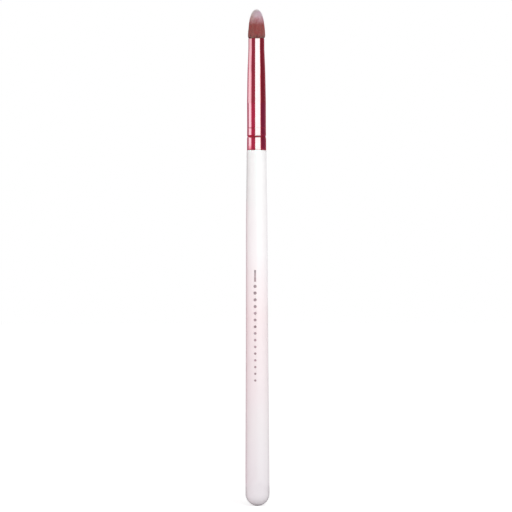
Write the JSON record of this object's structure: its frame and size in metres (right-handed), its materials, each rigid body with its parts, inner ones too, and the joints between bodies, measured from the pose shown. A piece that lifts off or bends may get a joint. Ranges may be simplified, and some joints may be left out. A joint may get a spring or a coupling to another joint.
{
  "type": "eyeshadow brush",
  "caption": "Slim round eyeshadow brush: glossy white tapered handle, crimped rose-red metal ferrule and a short domed head of soft two-tone bristles.",
  "frame": {"origin": "on the brush's axis, in the middle of the straight seat near the butt of the handle, where a stand or rack holds it", "axes": "+Z along the brush, from the butt to the bristles; +X and +Y across it, with the picture's view looking along +Y"},
  "size_m": [0.0084, 0.0084, 0.1749],
  "materials": {
    "lacquered_wood": "glossy white lacquer",
    "anodised_metal": "polished rose-red anodising",
    "bristle_fibre": "soft fibres, brown-red at the base and pale rose at the tips",
    "resin": "cured amber resin",
    "glue": "cured adhesive"
  },
  "bodies": {
    "root": {"handle": "lacquered_wood", "ferrule": "anodised_metal", "bristle_tuft": "bristle_fibre", "root_plug": "resin", "tenon_glue": "glue"}
  },
  "joints": []
}
